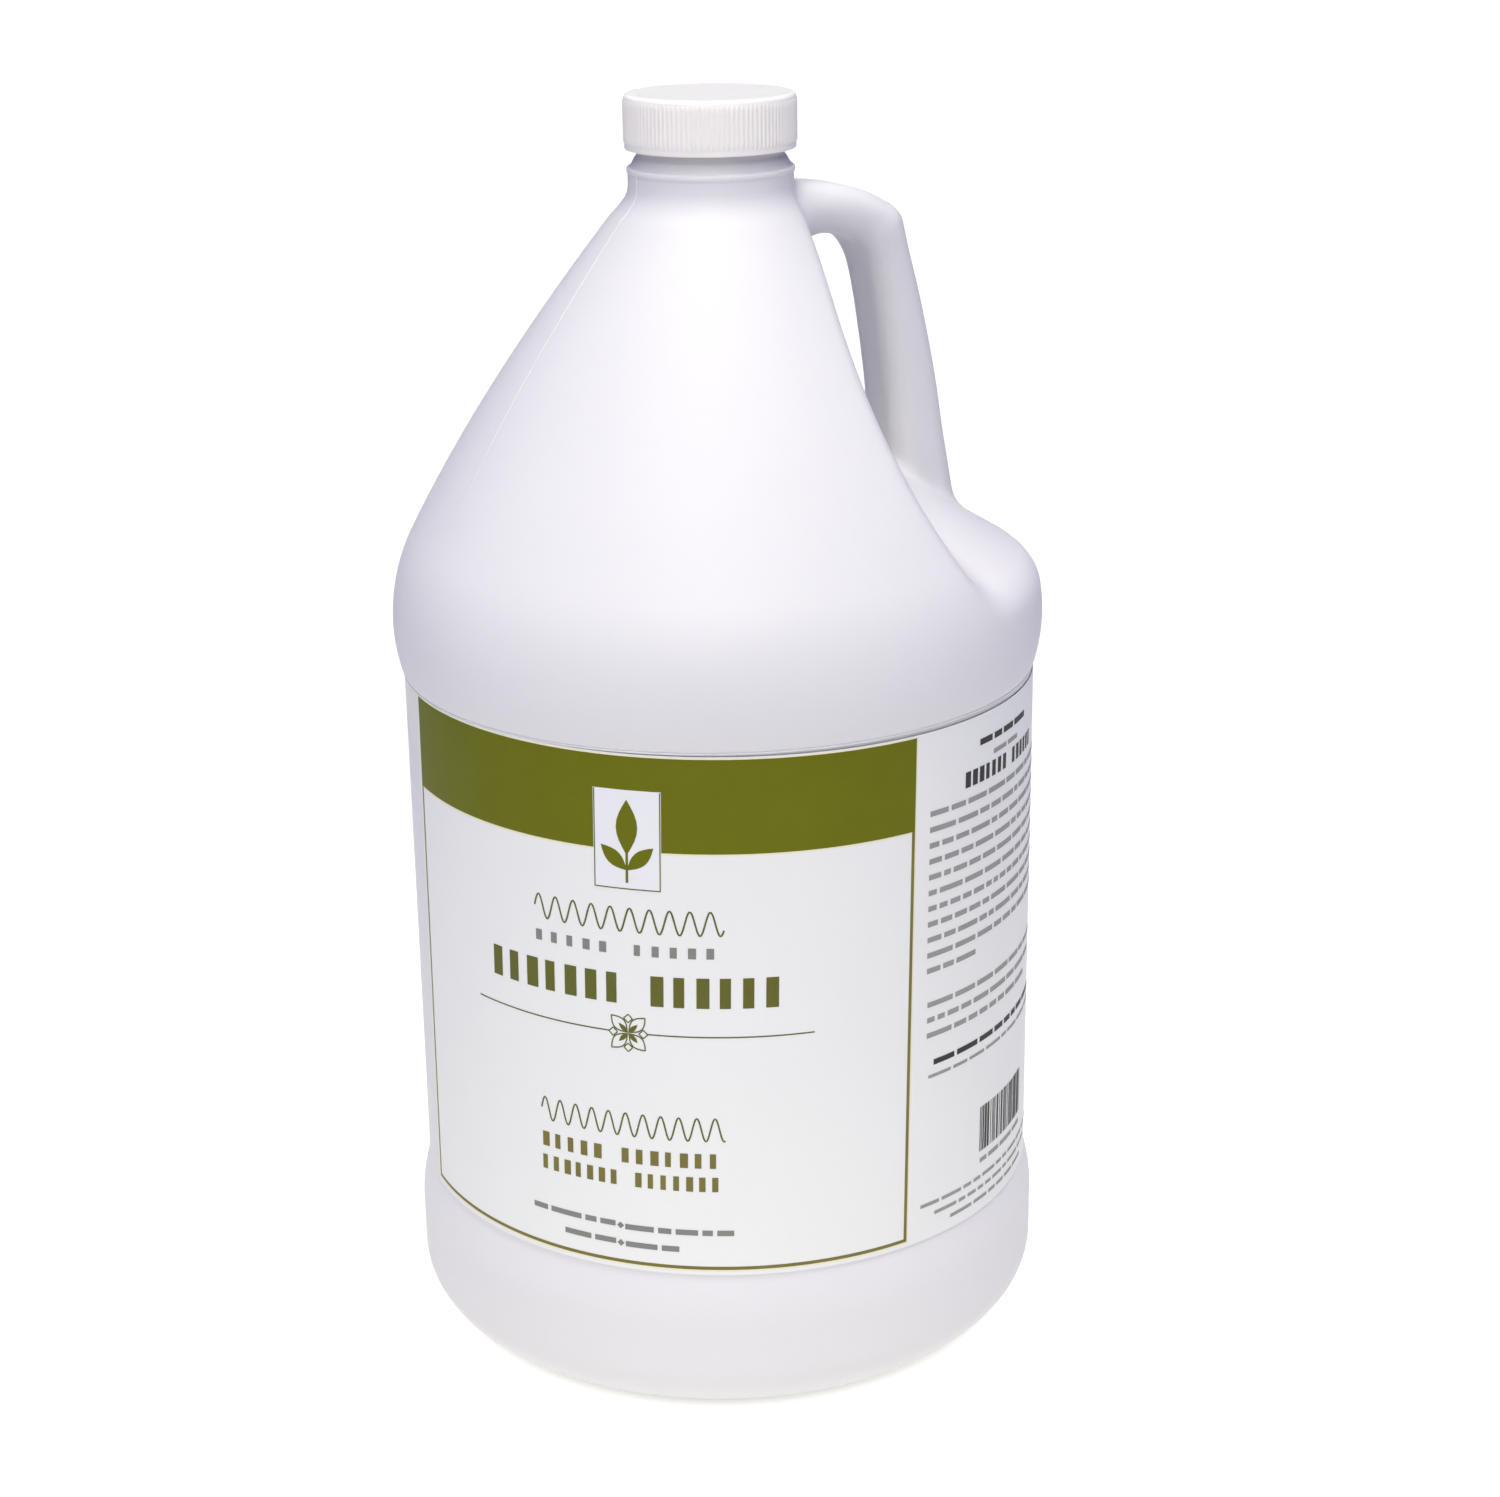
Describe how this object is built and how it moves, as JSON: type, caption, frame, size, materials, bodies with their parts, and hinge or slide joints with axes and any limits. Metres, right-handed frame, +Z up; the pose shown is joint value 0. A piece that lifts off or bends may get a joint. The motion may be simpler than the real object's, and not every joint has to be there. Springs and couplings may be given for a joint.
{
  "type": "handle jug",
  "caption": "Round blow-moulded handle jug with a tapered shoulder, a hollow side handle, a threaded neck, a ribbed screw cap and a wraparound label on its recessed panel.",
  "frame": {"origin": "centre of the base on the jug's axis, in the plane that the jug stands on", "axes": "+Z up along the jug's axis, +X towards the side that carries the handle, +Y completes a right-handed frame; the handle lies in the XZ plane"},
  "size_m": [0.1568, 0.1568, 0.3006],
  "materials": {
    "jug_plastic": "natural white polyethylene, satin, slightly translucent",
    "cap_plastic": "warm white polypropylene, satin",
    "liner_foam": "white polyethylene foam",
    "label_paper": "white film label with an olive-green band and a gold border, semi-gloss"
  },
  "bodies": {
    "jug": {"jug_body": "jug_plastic", "wrap_label": "label_paper"},
    "liner": {"cap_liner": "liner_foam"},
    "cap": {"screw_cap": "cap_plastic"}
  },
  "joints": [
    {"name": "cap_lift", "type": "slide", "parent": "jug", "child": "liner", "axis": [0, 0, 1], "range_m": [0, 0.017]},
    {"name": "cap_turn", "type": "hinge", "parent": "liner", "child": "cap", "pos_m": [0, 0, 0.294], "axis": [0, 0, 1], "range_deg": [0, 1440]}
  ],
  "couplings": [
    {"joint": "cap_lift", "follows": "cap_turn", "m_per_rad": 0.00067376}
  ]
}
